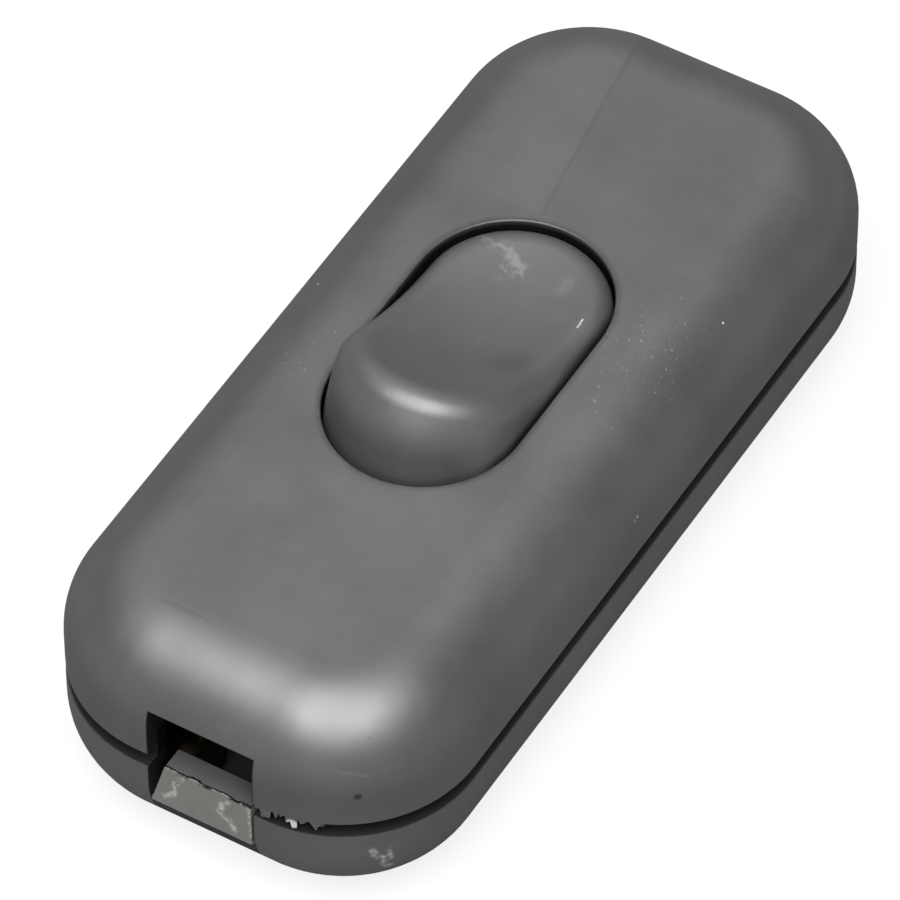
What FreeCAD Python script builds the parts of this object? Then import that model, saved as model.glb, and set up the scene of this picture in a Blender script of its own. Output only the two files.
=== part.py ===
import FreeCAD, Part
import math
import os
import re
import Sketcher

Vector = FreeCAD.Vector

# Driving sizes, in millimetres and degrees
SIZES = [
    ("body_length", 60.0),
    ("body_width", 25.95),
    ("body_height", 15.8),
    ("corner_radius", 8.7),
    ("top_edge_radius", 5.4),
    ("bottom_edge_radius", 5.7),
    ("wall_thickness", 2.0),
    ("groove_above", 0.45),
    ("groove_below", 0.75),
    ("tongue_height", 1.0),
    ("tongue_thickness", 0.9),
    ("tongue_clearance", 0.1),
    ("entry_width", 7.0),
    ("entry_drop", 3.85),
    ("web_top_drop", 0.05),
    ("web_foot_drop", 3.4),
    ("web_thickness", 1.55),
    ("web_slit", 0.15),
    ("web_tear_width", 0.95),
    ("pivot_drop", 2.7),
    ("rocker_to_terminal", 0.47),
    ("rocker_width", 11.72),
    ("rocker_gap", 0.22),
    ("rocker_tilt", 15.0),
    ("rocker_wall", 1.4),
    ("rocker_skirt_depth", 1.4),
    ("dish_radius", 20.0),
    ("dish_floor", 3.15),
    ("dish_roof", 1.1),
    ("rocker_edge_radius", 1.4),
    ("rim_radius", 0.1),
    ("trunnion_diameter", 2.4),
    ("trunnion_length", 1.5),
    ("running_clearance", 0.05),
    ("bearing_wall", 1.5),
    ("pole_offset", 3.2),
    ("plunger_diameter", 2.4),
    ("plunger_top", 1.6),
    ("plunger_clearance", 0.1),
    ("plunger_showing", 1.4),
    ("tube_wall", 0.75),
    ("spring_wire", 0.3),
    ("spring_turns", 5.0),
    ("spring_play", 0.12),
    ("seat_height", 3.0),
    ("strip_thickness", 0.8),
    ("strip_width", 4.0),
    ("blade_hinge_height", 6.0),
    ("blade_thickness", 0.6),
    ("blade_width", 3.6),
    ("blade_waist", 2.4),
    ("blade_near_arm", 7.2),
    ("blade_far_arm", 4.8),
    ("blade_bend", 9.0),
    ("blade_tilt", 12.0),
    ("contact_reach", 6.0),
    ("contact_diameter", 2.6),
    ("contact_height", 0.9),
    ("contact_gap", 0.1),
    ("rivet_diameter", 1.3),
    ("terminal_clearance", 0.3),
    ("terminal_length", 5.0),
    ("terminal_width", 4.8),
    ("terminal_height", 5.4),
    ("wire_hole_diameter", 2.6),
    ("wire_hole_height", 2.1),
    ("terminal_screw_diameter", 2.9),
    ("terminal_head_diameter", 4.2),
    ("terminal_head_height", 1.6),
    ("terminal_head_lift", 0.5),
    ("screw_slot", 0.7),
    ("clamp_inset", 5.4),
    ("clamp_spacing", 8.6),
    ("clamp_width", 3.6),
    ("clamp_thickness", 2.4),
    ("clamp_overhang", 2.3),
    ("cord_gap", 3.5),
    ("clamp_boss_height", 3.5),
    ("clamp_screw_diameter", 2.6),
    ("clamp_head_diameter", 4.4),
    ("clamp_head_height", 1.6),
    ("boss_clearance", 0.2),
    ("boss_inset", 6.25),
    ("boss_diameter", 4.8),
    ("boss_foot_diameter", 6.6),
    ("boss_foot_height", 4.2),
    ("boss_seat_lift", 0.1),
    ("housing_screw_diameter", 2.8),
    ("housing_head_diameter", 4.7),
    ("housing_head_height", 1.8),
    ("housing_head_depth", 1.0),
    ("peg_diameter", 2.4),
    ("peg_height", 2.0),
]
NAMES = {alias for alias, value in SIZES}

# Places and sizes that follow from the driving sizes
PLACES = {
    "parting_height": "body_height / 2",
    "entry_top_height": "body_height - entry_drop",
    "web_top_height": "parting_height - web_top_drop",
    "web_foot_height": "parting_height - web_foot_drop",
    "pivot_height": "body_height - pivot_drop",
    "clamp_position": "body_length / 2 - clamp_inset",
    "boss_across": "clamp_position - clamp_head_diameter / 2 - boss_diameter / 2 - boss_clearance",
    "boss_aside": "body_width / 2 - boss_inset",
    "boss_seat_height": "parting_height + boss_seat_lift",
    "terminal_position": "boss_across - boss_foot_diameter / 2 - terminal_length / 2 - terminal_clearance",
    "rocker_nose_radius": "terminal_position - terminal_head_diameter / 2 - rocker_to_terminal",
    "plunger_tip_drop":
        "pivot_height - blade_hinge_height - blade_thickness - plunger_diameter / 2 - plunger_clearance",
    "plunger_tube_drop": "plunger_tip_drop - plunger_showing",
}

doc = FreeCAD.newDocument("inline_cord_switch")
sheet = doc.addObject("Spreadsheet::Sheet", "Sizes")
for row, (alias, value) in enumerate(SIZES, 1):
    sheet.set("A%d" % row, alias.replace("_", " "))
    sheet.set("B%d" % row, str(value))
    sheet.setAlias("B%d" % row, alias)
doc.recompute()


def bound(text):
    """Turns size names in a formula into references to the sheet, and place names into their formulas."""
    def swap(word):
        name = word[0]
        if name in PLACES:
            return "(%s)" % bound(PLACES[name])
        return "Sizes." + name if name in NAMES else name
    return re.sub(r"[a-z_]+", swap, text)


def size(text):
    """Gives the number that a formula of size names stands for."""
    return float(sheet.evalExpression(bound(text)))


# Formulas that several pieces share
HALF_LONG = "(body_length / 2)"
HALF_WIDE = "(body_width / 2)"
UPPER_EDGE = "(parting_height + groove_above)"
LOWER_EDGE = "(parting_height - groove_below)"
CEILING = "(body_height - wall_thickness)"
TONGUE_TOP = "(parting_height + groove_above + tongue_height)"
TONGUE_INSET = "(wall_thickness - tongue_thickness)"
STRIP_TOP = "(seat_height + strip_thickness)"
TERMINAL_TOP = "(seat_height + terminal_height)"
ROCKER_HALF = "(rocker_width / 2)"
PLUNGER_RADIUS = "(plunger_diameter / 2)"
BORE_RADIUS = "(plunger_diameter / 2 + running_clearance)"
TUBE_RADIUS = "(plunger_diameter / 2 + running_clearance + tube_wall)"
CLAMP_UNDERSIDE = "(clamp_boss_height + cord_gap)"
CLAMP_TOP = "(clamp_boss_height + cord_gap + clamp_thickness)"
EMBED = "0.4"


def new_body(name):
    """Starts a piece."""
    body = doc.addObject("PartDesign::Body", name)
    body.Label = name
    return body


def sketch(body, plane, offset="0"):
    """Starts a sketch on one of the piece's own planes, moved along that plane's normal."""
    item = body.newObject("Sketcher::SketchObject", body.Name + "_sketch")
    support = [part for part in body.Origin.OriginFeatures if part.Role == plane][0]
    item.AttachmentSupport = [(support, "")]
    item.MapMode = "FlatFace"
    item.setExpression("AttachmentOffset.Base.z", bound(offset))
    return item


def hold_point(item, geometry, handle, place):
    """Ties a sketch point to two formulas measured from the sketch's origin."""
    for kind, text in zip(("DistanceX", "DistanceY"), place):
        number = item.addConstraint(Sketcher.Constraint(kind, -1, 1, geometry, handle, size(text)))
        item.setExpression("Constraints[%d]" % number, bound(text))


def arc_between(start, end, radius, turn):
    """Gives the shorter arc from start to end; turn is 1 anticlockwise and -1 clockwise."""
    chord = end - start
    reach = math.sqrt(max(radius ** 2 - (chord.Length / 2) ** 2, 0.0))
    aside = Vector(-chord.y, chord.x, 0).normalize()
    centre = start + chord * 0.5 + aside * (reach * turn)
    first, last = (start, end) if turn > 0 else (end, start)
    angles = [math.atan2(point.y - centre.y, point.x - centre.x) for point in (first, last)]
    if angles[1] < angles[0]:
        angles[1] += 2 * math.pi
    return Part.ArcOfCircle(Part.Circle(centre, Vector(0, 0, 1), radius), angles[0], angles[1])


def outline(item, corners, arcs=None):
    """Draws a closed loop through corners; arcs maps a side's number to its radius and turn."""
    arcs = arcs or {}
    points = [Vector(size(across), size(up), 0) for across, up in corners]
    handles = []
    first = item.GeometryCount
    for side, start in enumerate(points):
        end = points[(side + 1) % len(points)]
        if side in arcs:
            radius, turn = arcs[side]
            item.addGeometry(arc_between(start, end, size(radius), turn))
            handles.append((1, 2) if turn > 0 else (2, 1))
        else:
            item.addGeometry(Part.LineSegment(start, end))
            handles.append((1, 2))
    for side in range(len(points)):
        following = (side + 1) % len(points)
        item.addConstraint(Sketcher.Constraint(
            "Coincident", first + side, handles[side][1], first + following, handles[following][0]))
    for side, place in enumerate(corners):
        hold_point(item, first + side, handles[side][0], place)
    for side, (radius, turn) in arcs.items():
        number = item.addConstraint(Sketcher.Constraint("Radius", first + side, size(radius)))
        item.setExpression("Constraints[%d]" % number, bound(radius))


def rectangle(item, left, right, low, high):
    """Draws an upright rectangle."""
    outline(item, [(left, low), (right, low), (right, high), (left, high)])


def rounded_rectangle(item, inset):
    """Draws the housing's plan outline, moved inwards."""
    across = "(%s - %s)" % (HALF_LONG, inset)
    aside = "(%s - %s)" % (HALF_WIDE, inset)
    radius = "(corner_radius - %s)" % inset
    flat_across = "(%s - corner_radius)" % HALF_LONG
    flat_aside = "(%s - corner_radius)" % HALF_WIDE
    corners = [
        ("-" + flat_across, "-" + aside), (flat_across, "-" + aside),
        (across, "-" + flat_aside), (across, flat_aside),
        (flat_across, aside), ("-" + flat_across, aside),
        ("-" + across, flat_aside), ("-" + across, "-" + flat_aside),
    ]
    outline(item, corners, {1: (radius, 1), 3: (radius, 1), 5: (radius, 1), 7: (radius, 1)})


def stadium(item, half_long, half_wide):
    """Draws a slot shape along the sketch's first axis, with round ends."""
    flat = "(%s - %s)" % (half_long, half_wide)
    corners = [
        ("-" + flat, "-" + half_wide), (flat, "-" + half_wide), (half_long, "0"),
        (flat, half_wide), ("-" + flat, half_wide), ("-" + half_long, "0"),
    ]
    outline(item, corners, {side: (half_wide, 1) for side in (1, 2, 4, 5)})


def circle(item, across, up, diameter):
    """Draws a circle."""
    number = item.addGeometry(Part.Circle(Vector(size(across), size(up), 0), Vector(0, 0, 1), size(diameter) / 2))
    hold_point(item, number, 3, (across, up))
    radius = item.addConstraint(Sketcher.Constraint("Diameter", number, size(diameter)))
    item.setExpression("Constraints[%d]" % radius, bound(diameter))


def add(body, item, length, along=1, both_ways=False):
    """Pads a sketch along its normal, against it, or half each way."""
    feature = body.newObject("PartDesign::Pad", body.Name + "_pad")
    feature.Profile = item
    feature.setExpression("Length", bound(length))
    feature.Reversed = along < 0
    if both_ways:
        feature.SideType = "Symmetric"
    return feature


def cut(body, item, length, along=-1, both_ways=False):
    """Pockets a sketch along its normal, against it, or half each way."""
    feature = body.newObject("PartDesign::Pocket", body.Name + "_pocket")
    feature.Profile = item
    feature.setExpression("Length", bound(length))
    feature.Reversed = along > 0
    if both_ways:
        feature.SideType = "Symmetric"
    return feature


def turn(body, item, kind, axis="V_Axis"):
    """Spins a sketch a full turn about one of its own axes, as a Revolution or a Groove."""
    feature = body.newObject("PartDesign::" + kind, body.Name + "_turned")
    feature.Profile = item
    feature.ReferenceAxis = (item, [axis])
    feature.Angle = 360
    return feature


def round_edges(body, radius, chosen):
    """Rounds the edges of the piece so far that the chosen function accepts."""
    doc.recompute()
    base = body.Tip
    names = ["Edge%d" % number for number, edge in enumerate(base.Shape.Edges, 1) if chosen(edge)]
    feature = body.newObject("PartDesign::Fillet", body.Name + "_fillet")
    feature.Base = (base, names)
    feature.setExpression("Radius", bound(radius))
    return feature


def level(edge, height):
    """Says whether an edge lies flat at a height."""
    box = edge.BoundBox
    return abs(box.ZMin - height) < 0.01 and abs(box.ZMax - height) < 0.01


def mirrored(source, name, normal):
    """Copies a piece across the plane through the origin with the given normal."""
    copy = doc.addObject("Part::Mirroring", name)
    copy.Label = name
    copy.Source = source
    copy.Normal = normal
    return copy


def group(name, members):
    """Gathers identical pieces in one node."""
    gathered = doc.addObject("Part::Compound", name)
    gathered.Label = name
    gathered.Links = members
    return gathered


def tilt(piece, height, angle):
    """Sets a piece down at a height on the middle line, turned about the cross axis."""
    piece.Placement = FreeCAD.Placement(Vector(0, 0, size(height)), FreeCAD.Rotation(Vector(0, 1, 0), size(angle)))
    piece.setExpression("Placement.Base.z", bound(height))
    piece.setExpression("Placement.Rotation.Angle", bound(angle))


ACROSS = Vector(1, 0, 0)
ASIDE = Vector(0, 1, 0)
DIAGONAL = (("boss_across", "boss_aside"), ("-boss_across", "-boss_aside"))
OTHER_DIAGONAL = (("boss_across", "-boss_aside"), ("-boss_across", "boss_aside"))
CLAMP_POINTS = [(end + "clamp_position", side + "clamp_spacing / 2") for end in ("", "-") for side in ("", "-")]

# Upper housing
upper = new_body("upper_housing")
item = sketch(upper, "XY_Plane", UPPER_EDGE)
rounded_rectangle(item, "0")
add(upper, item, "body_height - " + UPPER_EDGE)
round_edges(upper, "top_edge_radius", lambda edge: level(edge, size("body_height")))
item = sketch(upper, "XY_Plane", UPPER_EDGE)
rounded_rectangle(item, "wall_thickness")
cut(upper, item, CEILING + " - " + UPPER_EDGE, 1)
round_edges(upper, "top_edge_radius - wall_thickness", lambda edge: level(edge, size(CEILING)))
item = sketch(upper, "XY_Plane", UPPER_EDGE)
rounded_rectangle(item, "(%s - tongue_clearance)" % TONGUE_INSET)
cut(upper, item, "tongue_height + tongue_clearance", 1)
for side in ("", "-"):
    item = sketch(upper, "XY_Plane", "pivot_height - trunnion_diameter / 2 - bearing_wall")
    inner = "%s + rocker_gap" % ROCKER_HALF
    outer = "%s + rocker_gap + trunnion_length + bearing_wall" % ROCKER_HALF
    bearing_half = "trunnion_diameter / 2 + bearing_wall"
    rectangle(item, "-(%s)" % bearing_half, bearing_half, side + "(%s)" % inner, side + "(%s)" % outer)
    add(upper, item, "%s + %s - (pivot_height - trunnion_diameter / 2 - bearing_wall)" % (CEILING, EMBED))
item = sketch(upper, "XZ_Plane")
circle(item, "0", "pivot_height", "trunnion_diameter + 2 * running_clearance")
cut(upper, item, "rocker_width + 2 * rocker_gap + 2 * trunnion_length", both_ways=True)
for places, hole, depth in (
        (DIAGONAL, "housing_screw_diameter + 2 * running_clearance", "5"),
        (OTHER_DIAGONAL, "peg_diameter + 2 * running_clearance", "peg_height + 0.5")):
    item = sketch(upper, "XY_Plane", "boss_seat_height")
    for place in places:
        circle(item, place[0], place[1], "boss_diameter")
    add(upper, item, "%s + %s - boss_seat_height" % (CEILING, EMBED))
    item = sketch(upper, "XY_Plane", "boss_seat_height")
    for place in places:
        circle(item, place[0], place[1], hole)
    cut(upper, item, depth, 1)
item = sketch(upper, "YZ_Plane")
rectangle(item, "-entry_width / 2", "entry_width / 2", "parting_height - 1", "entry_top_height")
cut(upper, item, "body_length + 2", both_ways=True)
item = sketch(upper, "XY_Plane", "pivot_height")
opening_half = "(%s + rocker_gap)" % ROCKER_HALF
opening_nose = "(rocker_nose_radius + rocker_gap)"
opening_flat = "(%s - %s)" % (opening_nose, opening_half)
outline(
    item,
    [("0", "-" + opening_half), (opening_flat, "-" + opening_half), (opening_nose, "0"),
     (opening_flat, opening_half), ("0", opening_half)],
    {1: (opening_half, 1), 2: (opening_half, 1)})
turn(upper, item, "Groove")
round_edges(upper, "rim_radius", lambda edge: level(edge, size("body_height"))
            and edge.BoundBox.XMax < size(HALF_LONG) / 2 and edge.BoundBox.XMin > -size(HALF_LONG) / 2
            and edge.BoundBox.YMax < size(opening_half) + 0.1 and edge.BoundBox.YMin > -size(opening_half) - 0.1)

# Lower housing
lower = new_body("lower_housing")
item = sketch(lower, "XY_Plane")
rounded_rectangle(item, "0")
add(lower, item, LOWER_EDGE)
round_edges(lower, "bottom_edge_radius", lambda edge: level(edge, 0))
item = sketch(lower, "XY_Plane", "wall_thickness")
rounded_rectangle(item, "wall_thickness")
cut(lower, item, LOWER_EDGE + " - wall_thickness", 1)
round_edges(lower, "bottom_edge_radius - wall_thickness", lambda edge: level(edge, size("wall_thickness")))
item = sketch(lower, "XY_Plane", LOWER_EDGE)
rounded_rectangle(item, TONGUE_INSET)
rounded_rectangle(item, "wall_thickness")
add(lower, item, "%s - %s" % (TONGUE_TOP, LOWER_EDGE))
item = sketch(lower, "YZ_Plane")
rectangle(item, "-entry_width / 2", "entry_width / 2", "web_foot_height", TONGUE_TOP + " + 1")
cut(lower, item, "body_length + 2", both_ways=True)
web_half = "(entry_width / 2 - web_slit)"
for plane, along, torn_top in (
        ("-" + HALF_LONG, 1, web_half + " - web_tear_width"), (HALF_LONG, -1, web_half)):
    item = sketch(lower, "YZ_Plane", plane)
    outline(item, [
        ("-" + web_half, "web_foot_height - 0.05"), (web_half, "web_foot_height - 0.05"),
        (torn_top, "web_top_height"), ("-" + web_half, "web_top_height")])
    add(lower, item, "web_thickness", along)
seat_reach = "(terminal_position + terminal_length / 2 + 0.6)"
seat_half = "(pole_offset + terminal_width / 2 + 0.6)"
item = sketch(lower, "XY_Plane", "wall_thickness - " + EMBED)
rectangle(item, "-" + seat_reach, seat_reach, "-" + seat_half, seat_half)
add(lower, item, "seat_height - wall_thickness + " + EMBED)
item = sketch(lower, "XY_Plane", "wall_thickness - " + EMBED)
rib_half = "(pole_offset - terminal_width / 2 - 0.2)"
rectangle(item, "-" + seat_reach, seat_reach, "-" + rib_half, rib_half)
add(lower, item, "blade_hinge_height + blade_thickness - wall_thickness + " + EMBED)
item = sketch(lower, "XY_Plane", "wall_thickness - " + EMBED)
for place in DIAGONAL + OTHER_DIAGONAL:
    circle(item, place[0], place[1], "boss_foot_diameter")
add(lower, item, "boss_foot_height - wall_thickness + " + EMBED)
item = sketch(lower, "XY_Plane", "wall_thickness - " + EMBED)
for place in DIAGONAL + OTHER_DIAGONAL:
    circle(item, place[0], place[1], "boss_diameter")
add(lower, item, "boss_seat_height - wall_thickness + " + EMBED)
item = sketch(lower, "XY_Plane", "boss_seat_height - 1")
for place in OTHER_DIAGONAL:
    circle(item, place[0], place[1], "peg_diameter")
add(lower, item, "peg_height + 1")
item = sketch(lower, "XY_Plane", "-1")
for place in DIAGONAL:
    circle(item, place[0], place[1], "housing_head_diameter + 0.3")
cut(lower, item, "1 + housing_head_depth + housing_head_height", 1)
item = sketch(lower, "XY_Plane", "0")
for place in DIAGONAL:
    circle(item, place[0], place[1], "housing_screw_diameter + 0.3")
cut(lower, item, "boss_seat_height + 1", 1)
item = sketch(lower, "XY_Plane", "wall_thickness - " + EMBED)
for place in CLAMP_POINTS:
    circle(item, place[0], place[1], "clamp_screw_diameter + 1.8")
add(lower, item, "clamp_boss_height - wall_thickness + " + EMBED)
item = sketch(lower, "XY_Plane", "clamp_boss_height")
for place in CLAMP_POINTS:
    circle(item, place[0], place[1], "clamp_screw_diameter + 2 * running_clearance")
cut(lower, item, "clamp_boss_height - wall_thickness / 2")

# Rocker, drawn level about its pivot and then tilted
rocker = new_body("rocker")
item = sketch(rocker, "XY_Plane")
nose_flat = "(rocker_nose_radius - %s)" % ROCKER_HALF
outline(
    item,
    [("0", "-" + ROCKER_HALF), (nose_flat, "-" + ROCKER_HALF), ("rocker_nose_radius", "0"),
     (nose_flat, ROCKER_HALF), ("0", ROCKER_HALF)],
    {1: (ROCKER_HALF, 1), 2: (ROCKER_HALF, 1)})
turn(rocker, item, "Revolution")
item = sketch(rocker, "XZ_Plane")
outline(
    item,
    [("0", "dish_floor"), ("dish_radius", "dish_floor + dish_radius"), ("0", "dish_floor + dish_radius")],
    {0: ("dish_radius", 1)})
turn(rocker, item, "Groove")
item = sketch(rocker, "XZ_Plane")
rectangle(item, "-rocker_nose_radius - 1", "rocker_nose_radius + 1", "-rocker_nose_radius - 1", "-rocker_skirt_depth")
cut(rocker, item, "rocker_width + 2", both_ways=True)
round_edges(rocker, "rocker_edge_radius", lambda edge: edge.BoundBox.ZMin > size("dish_floor") - 0.05)
item = sketch(rocker, "XY_Plane", "-rocker_skirt_depth")
stadium(item, "(rocker_nose_radius - rocker_wall)", "(%s - rocker_wall)" % ROCKER_HALF)
cut(rocker, item, "rocker_skirt_depth + dish_floor - dish_roof", 1)
item = sketch(rocker, "XY_Plane", "-plunger_tube_drop")
for side in ("", "-"):
    circle(item, "0", side + "pole_offset", "2 * " + TUBE_RADIUS)
add(rocker, item, "plunger_tube_drop + dish_floor - dish_roof + " + EMBED)
item = sketch(rocker, "XY_Plane", "-plunger_tube_drop")
for side in ("", "-"):
    circle(item, "0", side + "pole_offset", "2 * " + BORE_RADIUS)
cut(rocker, item, "plunger_tube_drop + dish_floor - dish_roof", 1)
for side, along in (("-", -1), ("", 1)):
    item = sketch(rocker, "XZ_Plane", side + "(%s - %s)" % (ROCKER_HALF, EMBED))
    circle(item, "0", "0", "trunnion_diameter")
    add(rocker, item, "trunnion_length + %s" % EMBED, along)
tilt(rocker, "pivot_height", "rocker_tilt")

# Plungers with round tips, riding in the rocker's tubes
plunger = new_body("plunger_left")
item = sketch(plunger, "XZ_Plane", "-pole_offset")
outline(
    item,
    [("0", "-plunger_tip_drop - " + PLUNGER_RADIUS), (PLUNGER_RADIUS, "-plunger_tip_drop"),
     (PLUNGER_RADIUS, "-plunger_top"), ("0", "-plunger_top")],
    {0: (PLUNGER_RADIUS, 1)})
turn(plunger, item, "Revolution")
tilt(plunger, "pivot_height", "rocker_tilt")
plunger_right = mirrored(plunger, "plunger_right", ASIDE)


def coil(wire, turns, radius, low, high, aside, steps=12, sides=6):
    """Builds a spring whose six-sided wire follows a helix in straight steps."""
    count = int(round(turns * steps))
    rings = []
    for step in range(count + 1):
        angle = 2 * math.pi * step / steps
        out = Vector(math.cos(angle), math.sin(angle), 0)
        rise = low + wire / 2 + (high - low - wire) * step / count
        spokes = [2 * math.pi * (corner + 0.5) / sides for corner in range(sides)]
        rings.append([
            out * (radius + wire / 2 * math.cos(spoke)) + Vector(0, aside, rise + wire / 2 * math.sin(spoke))
            for spoke in spokes])
    faces = []
    for near, far in zip(rings, rings[1:]):
        for corner in range(sides):
            after = (corner + 1) % sides
            faces.append(Part.Face(Part.makePolygon([near[corner], near[after], far[after], near[corner]])))
            faces.append(Part.Face(Part.makePolygon([near[corner], far[after], far[corner], near[corner]])))
    for ring in (rings[0], rings[-1]):
        faces.append(Part.Face(Part.makePolygon(ring + ring[:1])))
    solid = Part.Solid(Part.Shell(faces))
    if solid.Volume < 0:
        solid.reverse()
    return solid


spring = doc.addObject("Part::Feature", "plunger_spring_left")
spring.Label = "plunger_spring_left"
spring_radius = "(%s - spring_play - spring_wire / 2)" % PLUNGER_RADIUS
spring.Shape = coil(
    size("spring_wire"), size("spring_turns"), size(spring_radius),
    -size("plunger_top"), size("dish_floor - dish_roof"), size("pole_offset"))
tilt(spring, "pivot_height", "rocker_tilt")
spring_right = mirrored(spring, "plunger_spring_right", ASIDE)

# Contact blades, drawn with both arms bent up from the hinge line and then tilted
blade = new_body("contact_blade_left")
item = sketch(blade, "XZ_Plane", "-pole_offset")
near_x = "-blade_near_arm * cos(blade_bend)"
near_z = "blade_near_arm * sin(blade_bend)"
far_x = "blade_far_arm * cos(blade_bend)"
far_z = "blade_far_arm * sin(blade_bend)"
rise_x = "blade_thickness * sin(blade_bend)"
rise_z = "blade_thickness * cos(blade_bend)"
outline(item, [
    ("0", "0"), (far_x, far_z), ("%s - %s" % (far_x, rise_x), "%s + %s" % (far_z, rise_z)),
    ("0", "blade_thickness / cos(blade_bend)"),
    ("%s + %s" % (near_x, rise_x), "%s + %s" % (near_z, rise_z)), (near_x, near_z)])
add(blade, item, "blade_width", both_ways=True)
for side in (1, -1):
    item = sketch(blade, "XY_Plane", "-1")
    waist = "pole_offset %s blade_waist / 2" % ("+" if side > 0 else "-")
    edge = "pole_offset %s (blade_width / 2 + 1)" % ("+" if side > 0 else "-")
    rectangle(item, "-1.2", "1.2", waist, edge)
    cut(blade, item, "3", 1)
tilt(blade, "blade_hinge_height", "-blade_tilt")
blade_right = mirrored(blade, "contact_blade_right", ASIDE)

# Silver contacts on the blades, drawn square to the near arm
rest_slope = "(blade_tilt - blade_bend)"
moving = new_body("moving_contact_left")
item = sketch(moving, "XZ_Plane", "-pole_offset")
outline(
    item,
    [("0", "-contact_height"), ("contact_diameter / 2 - 0.3", "-contact_height"),
     ("contact_diameter / 2", "-contact_height + 0.3"), ("contact_diameter / 2", "0"),
     ("rivet_diameter / 2", "0"), ("rivet_diameter / 2", "blade_thickness"), ("0", "blade_thickness")])
turn(moving, item, "Revolution")
moving.Placement = FreeCAD.Placement(Vector(0, 0, 0), FreeCAD.Rotation(Vector(0, 1, 0), -size(rest_slope)))
moving.setExpression("Placement.Rotation.Angle", bound("-" + rest_slope))
moving.setExpression("Placement.Base.x", bound("-contact_reach * cos(%s)" % rest_slope))
moving.setExpression("Placement.Base.z", bound("blade_hinge_height - contact_reach * sin(%s)" % rest_slope))
moving_right = mirrored(moving, "moving_contact_right", ASIDE)
item = sketch(blade, "XY_Plane", "-1")
circle(item, "-contact_reach * cos(blade_bend)", "pole_offset", "rivet_diameter + 0.3")
cut(blade, item, "4", 1)

# Supply terminals with their fixed contacts, at the near end
contact_x = "(-contact_reach * cos(%s))" % rest_slope
contact_top = "(blade_hinge_height - contact_reach * sin(%s) - contact_height * cos(%s) - contact_gap)" % (
    rest_slope, rest_slope)
block_inner = "(terminal_position - terminal_length / 2)"
block_outer = "(terminal_position + terminal_length / 2)"


def terminal(name, end):
    """Builds a drilled brass block with a strip that runs from it towards the middle."""
    body = new_body(name)
    block = sketch(body, "XY_Plane", "seat_height")
    left, right = sorted((end + block_inner, end + block_outer), key=size)
    rectangle(block, left, right, "pole_offset - terminal_width / 2", "pole_offset + terminal_width / 2")
    add(body, block, "terminal_height")
    wire = sketch(body, "YZ_Plane")
    circle(wire, "pole_offset", "seat_height + wire_hole_height", "wire_hole_diameter")
    cut(body, wire, "body_length", both_ways=True)
    tapped = sketch(body, "XY_Plane", TERMINAL_TOP)
    circle(tapped, end + "terminal_position", "pole_offset", "terminal_screw_diameter + 2 * running_clearance")
    cut(body, tapped, "terminal_height - wire_hole_height")
    return body


supply = terminal("supply_terminal_left", "-")
item = sketch(supply, "XY_Plane", "seat_height")
rectangle(item, "-%s - 0.5" % block_inner, contact_x + " + contact_diameter / 2 + 0.4",
          "pole_offset - strip_width / 2", "pole_offset + strip_width / 2")
add(supply, item, "strip_thickness")
item = sketch(supply, "XY_Plane", STRIP_TOP)
circle(item, contact_x, "pole_offset", "rivet_diameter + 2 * running_clearance")
cut(supply, item, "strip_thickness")
supply_right = mirrored(supply, "supply_terminal_right", ASIDE)

fixed = new_body("fixed_contact_left")
item = sketch(fixed, "XY_Plane", STRIP_TOP)
circle(item, contact_x, "pole_offset", "contact_diameter")
add(fixed, item, "%s - %s" % (contact_top, STRIP_TOP))
item = sketch(fixed, "XY_Plane", STRIP_TOP)
circle(item, contact_x, "pole_offset", "rivet_diameter")
add(fixed, item, "strip_thickness", -1)
fixed_right = mirrored(fixed, "fixed_contact_right", ASIDE)

# Load terminals, whose strips turn up at the middle into a forked rest for the blade
load = terminal("load_terminal_left", "")
item = sketch(load, "XZ_Plane", "-pole_offset")
half_strip = "strip_thickness / 2"
outline(item, [
    ("-" + half_strip, "seat_height"), (block_inner + " + 0.5", "seat_height"),
    (block_inner + " + 0.5", STRIP_TOP), (half_strip, STRIP_TOP),
    (half_strip, "blade_hinge_height + 2 * blade_thickness"),
    ("-" + half_strip, "blade_hinge_height + 2 * blade_thickness")])
add(load, item, "strip_width", both_ways=True)
item = sketch(load, "YZ_Plane")
fork_half = "(blade_waist / 2 + 0.15)"
rectangle(item, "pole_offset - " + fork_half, "pole_offset + " + fork_half,
          "blade_hinge_height - 0.05", "blade_hinge_height + 3 * blade_thickness")
cut(load, item, "4 * strip_thickness", both_ways=True)
load_right = mirrored(load, "load_terminal_right", ASIDE)


def slotted_screw(name, place, shank, head, under_head, tip, head_height):
    """Builds an upright screw with a slotted head that stands on the height under_head."""
    body = new_body(name)
    points = sketch(body, "XY_Plane", tip)
    circle(points, place[0], place[1], shank)
    add(body, points, "%s - (%s)" % (under_head, tip))
    top = sketch(body, "XY_Plane", under_head)
    circle(top, place[0], place[1], head)
    add(body, top, head_height)
    slot = sketch(body, "XY_Plane", "%s + %s" % (under_head, head_height))
    rectangle(slot, "%s - %s" % (place[0], head), "%s + %s" % (place[0], head),
              "%s - screw_slot / 2" % place[1], "%s + screw_slot / 2" % place[1])
    cut(body, slot, "%s / 2" % head_height)
    return body


def four_of(name, first):
    """Repeats a piece in the four quarters of the switch."""
    beside = mirrored(first, name + "_beside", ASIDE)
    return group(name, [first, beside, mirrored(first, name + "_behind", ACROSS),
                        mirrored(beside, name + "_across", ACROSS)])


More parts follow.
